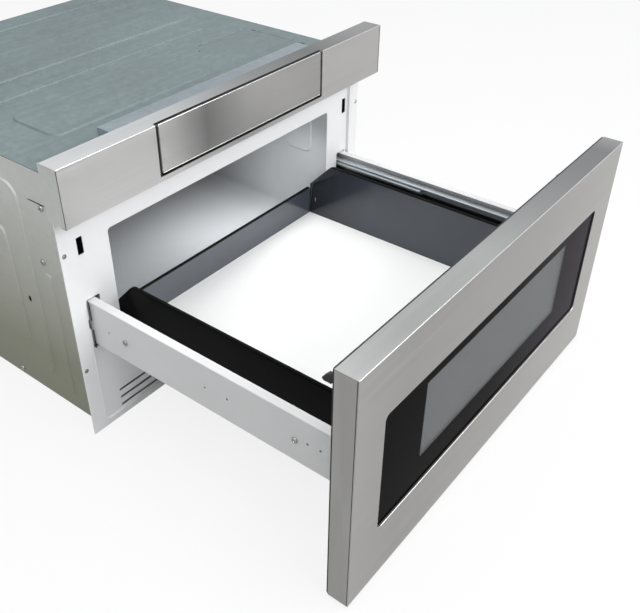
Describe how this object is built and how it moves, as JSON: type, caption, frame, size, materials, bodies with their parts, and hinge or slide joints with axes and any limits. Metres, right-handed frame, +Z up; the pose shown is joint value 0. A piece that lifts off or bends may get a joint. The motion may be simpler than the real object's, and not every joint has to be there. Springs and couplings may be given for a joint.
{
  "type": "microwave drawer",
  "caption": "Built-in microwave oven whose whole front slides out as a drawer on telescopic rails, with a tilting control panel above it.",
  "frame": {"origin": "centre of the underside of the cabinet body, where it rests on the shelf of its recess", "axes": "+X to the right seen from the front, +Y from the front to the back, +Z up; the drawer opens towards -Y"},
  "size_m": [0.606, 0.968, 0.4078],
  "materials": {
    "galvanised": "matt zinc coating",
    "stainless": "brushed along the width",
    "white_enamel": "satin powder coat",
    "cavity_enamel": "grey-white enamel",
    "zinc": "bright zinc",
    "screw_steel": "plated",
    "cage_steel": "oiled",
    "tube_metal": "satin",
    "core_steel": "varnished",
    "winding_copper": "varnished",
    "stirrer_metal": "satin",
    "black_enamel": "gloss black",
    "black_plastic": "moulded",
    "gear_plastic": "acetal",
    "duct_plastic": "moulded",
    "board_green": "laminate",
    "white_ceramic": "smooth white",
    "dark_glass": "black-backed glass",
    "lamp_glass": "clear"
  },
  "bodies": {
    "cabinet": {"base_pan": "galvanised", "top_cover": "galvanised", "side_panel_left": "galvanised", "side_panel_right": "galvanised", "rear_panel": "galvanised", "front_frame": "white_enamel", "cavity": "cavity_enamel", "antenna_cover": "white_ceramic", "antenna_motor": "black_plastic", "waveguide": "tube_metal", "magnetron": "tube_metal", "transformer_core": "core_steel", "transformer_windings": "winding_copper", "capacitor": "tube_metal", "fan_motor": "core_steel", "fan_duct": "duct_plastic", "oven_lamp": "lamp_glass", "lamp_housing": "galvanised", "main_board": "board_green", "thermal_cutouts": "black_plastic", "cord_gland": "black_plastic", "slide_brackets": "galvanised", "slide_cabinet_members": "zinc", "drive_motor": "black_plastic", "latch_heads": "black_plastic", "interlock_switches": "black_plastic", "cabinet_screws": "screw_steel", "fascia": "stainless", "fascia_ends": "galvanised", "control_bay": "zinc", "panel_hinge_pins": "zinc"},
    "drawer": {"door_skin": "stainless", "door_glass": "dark_glass", "door_frame": "black_enamel", "door_back": "black_enamel", "choke_cover": "black_plastic", "latch_hooks": "black_plastic", "rail_left": "white_enamel", "rail_right": "white_enamel", "drive_rack": "gear_plastic", "slide_drawer_members": "zinc", "tray_side_left": "black_enamel", "tray_side_right": "black_enamel", "tray_rear": "black_enamel", "tray_frame": "black_enamel", "ceramic_base": "white_ceramic", "rail_screws": "screw_steel"},
    "control_panel": {"panel_front": "stainless", "panel_housing": "black_plastic", "touch_glass": "dark_glass", "control_board": "board_green"},
    "middle_left": {"slide_middle_left": "zinc"},
    "middle_right": {"slide_middle_right": "zinc"},
    "inner_cages": {"inner_ball_cages": "cage_steel"},
    "outer_cages": {"outer_ball_cages": "cage_steel"},
    "pinion": {"drive_pinion": "gear_plastic"},
    "antenna": {"antenna": "stirrer_metal"},
    "fan": {"fan_blade": "gear_plastic"},
    "lever_left": {"latch_lever_left": "gear_plastic"},
    "lever_right": {"latch_lever_right": "gear_plastic"}
  },
  "joints": [
    {"name": "drawer_slide", "type": "slide", "parent": "cabinet", "child": "drawer", "axis": [0, 1, 0], "range_m": [0, 0.391]},
    {"name": "middle_left_slide", "type": "slide", "parent": "cabinet", "child": "middle_left", "axis": [0, 1, 0], "range_m": [0, 0.1955]},
    {"name": "middle_right_slide", "type": "slide", "parent": "cabinet", "child": "middle_right", "axis": [0, 1, 0], "range_m": [0, 0.1955]},
    {"name": "inner_cage_slide", "type": "slide", "parent": "cabinet", "child": "inner_cages", "axis": [0, 1, 0], "range_m": [0, 0.09775]},
    {"name": "outer_cage_slide", "type": "slide", "parent": "cabinet", "child": "outer_cages", "axis": [0, 1, 0], "range_m": [0, 0.29325]},
    {"name": "pinion_spin", "type": "hinge", "parent": "cabinet", "child": "pinion", "pos_m": [-0.261, -0.236, 0.129], "axis": [-1, 0, 0], "range_deg": [0, 1867]},
    {"name": "panel_tilt", "type": "hinge", "parent": "cabinet", "child": "control_panel", "pos_m": [0, -0.29, 0.3478], "axis": [1, 0, 0], "range_deg": [0, 45]},
    {"name": "antenna_spin", "type": "hinge", "parent": "cabinet", "child": "antenna", "pos_m": [0, -0.0527, 0.06], "axis": [0, 0, 1], "continuous": true},
    {"name": "fan_spin", "type": "hinge", "parent": "cabinet", "child": "fan", "pos_m": [0.146, 0.212, 0.112], "axis": [1, 0, 0], "continuous": true},
    {"name": "lever_left_turn", "type": "hinge", "parent": "cabinet", "child": "lever_left", "pos_m": [-0.2645, -0.2225, 0.293], "axis": [1, 0, 0], "range_deg": [0, 12], "stiffness_Nm_per_rad": 0.02, "springref_deg": -11.46},
    {"name": "lever_right_turn", "type": "hinge", "parent": "cabinet", "child": "lever_right", "pos_m": [0.2645, -0.2225, 0.293], "axis": [1, 0, 0], "range_deg": [0, 12], "stiffness_Nm_per_rad": 0.02, "springref_deg": -11.46}
  ],
  "couplings": [
    {"joint": "middle_left_slide", "follows": "drawer_slide", "ratio": 0.5},
    {"joint": "middle_right_slide", "follows": "drawer_slide", "ratio": 0.5},
    {"joint": "inner_cage_slide", "follows": "drawer_slide", "ratio": 0.25},
    {"joint": "outer_cage_slide", "follows": "drawer_slide", "ratio": 0.75},
    {"joint": "pinion_spin", "follows": "drawer_slide", "rad_per_m": 83.333}
  ]
}
